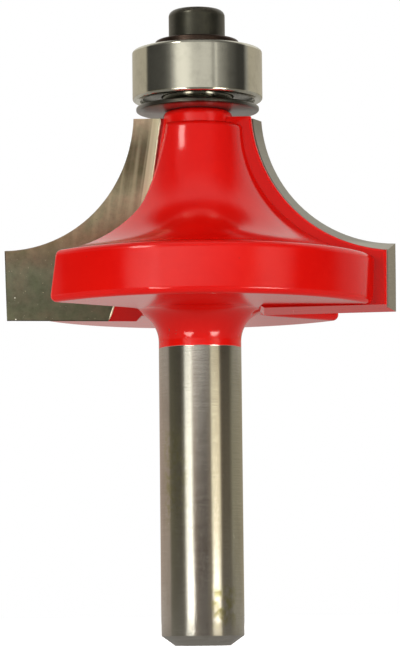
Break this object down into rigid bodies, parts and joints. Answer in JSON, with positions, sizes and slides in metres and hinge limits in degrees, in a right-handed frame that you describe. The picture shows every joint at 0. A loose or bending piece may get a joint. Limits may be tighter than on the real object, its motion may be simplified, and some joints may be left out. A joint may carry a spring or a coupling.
{
  "type": "router bit",
  "caption": "Round-over router bit: plain shank, red-enamelled body with carbide tips, and a pilot ball bearing held on the nose by a washer and a cap screw.",
  "frame": {"origin": "centre of the shank's flat end", "axes": "+Z along the tool's axis from the shank to the screw; +X towards the edge of tip A"},
  "size_m": [0.038, 0.0348, 0.0618],
  "materials": {
    "enamelled_steel": "gloss red enamel on the body, bare ground steel on the shank",
    "carbide": "ground, with faint heat tint",
    "washer_steel": "smooth grey steel",
    "dark_washer": "dark browned steel",
    "bearing_steel": "ground and polished bearing steel",
    "shield_steel": "stamped sheet",
    "wire_steel": "spring wire",
    "cage_steel": "stamped sheet",
    "ball_steel": "polished",
    "black_screw": "black oxide"
  },
  "bodies": {
    "cutter": {"cutter_body": "enamelled_steel", "carbide_tip_a": "carbide", "carbide_tip_b": "carbide", "shield_washer": "washer_steel", "head_washer": "dark_washer", "bearing_inner_ring": "bearing_steel", "cap_screw": "black_screw"},
    "outer_race": {"bearing_outer_ring": "bearing_steel", "lower_shield": "shield_steel", "upper_shield": "shield_steel", "lower_snap_ring": "wire_steel", "upper_snap_ring": "wire_steel"},
    "cage": {"bearing_cage": "cage_steel"},
    "ball_1": {"ball_1": "ball_steel"},
    "ball_2": {"ball_2": "ball_steel"},
    "ball_3": {"ball_3": "ball_steel"},
    "ball_4": {"ball_4": "ball_steel"},
    "ball_5": {"ball_5": "ball_steel"},
    "ball_6": {"ball_6": "ball_steel"},
    "ball_7": {"ball_7": "ball_steel"}
  },
  "joints": [
    {"name": "bearing_spin", "type": "hinge", "parent": "cutter", "child": "outer_race", "pos_m": [0, 0, 0.05534], "axis": [0, 0, 1], "continuous": true},
    {"name": "cage_spin", "type": "hinge", "parent": "cutter", "child": "cage", "pos_m": [0, 0, 0.05534], "axis": [0, 0, 1], "continuous": true},
    {"name": "ball_1_spin", "type": "hinge", "parent": "cage", "child": "ball_1", "pos_m": [0.00437, 0, 0.05534], "axis": [0, 0, 1], "continuous": true},
    {"name": "ball_2_spin", "type": "hinge", "parent": "cage", "child": "ball_2", "pos_m": [0.00272, 0.00341, 0.05534], "axis": [0, 0, 1], "continuous": true},
    {"name": "ball_3_spin", "type": "hinge", "parent": "cage", "child": "ball_3", "pos_m": [-0.00097, 0.00426, 0.05534], "axis": [0, 0, 1], "continuous": true},
    {"name": "ball_4_spin", "type": "hinge", "parent": "cage", "child": "ball_4", "pos_m": [-0.00393, 0.00189, 0.05534], "axis": [0, 0, 1], "continuous": true},
    {"name": "ball_5_spin", "type": "hinge", "parent": "cage", "child": "ball_5", "pos_m": [-0.00393, -0.00189, 0.05534], "axis": [0, 0, 1], "continuous": true},
    {"name": "ball_6_spin", "type": "hinge", "parent": "cage", "child": "ball_6", "pos_m": [-0.00097, -0.00426, 0.05534], "axis": [0, 0, 1], "continuous": true},
    {"name": "ball_7_spin", "type": "hinge", "parent": "cage", "child": "ball_7", "pos_m": [0.00272, -0.00341, 0.05534], "axis": [0, 0, 1], "continuous": true}
  ],
  "couplings": [
    {"joint": "cage_spin", "follows": "bearing_spin", "ratio": 0.63635},
    {"joint": "ball_1_spin", "follows": "bearing_spin", "ratio": 1.6972},
    {"joint": "ball_2_spin", "follows": "bearing_spin", "ratio": 1.6972},
    {"joint": "ball_3_spin", "follows": "bearing_spin", "ratio": 1.6972},
    {"joint": "ball_4_spin", "follows": "bearing_spin", "ratio": 1.6972},
    {"joint": "ball_5_spin", "follows": "bearing_spin", "ratio": 1.6972},
    {"joint": "ball_6_spin", "follows": "bearing_spin", "ratio": 1.6972},
    {"joint": "ball_7_spin", "follows": "bearing_spin", "ratio": 1.6972}
  ]
}
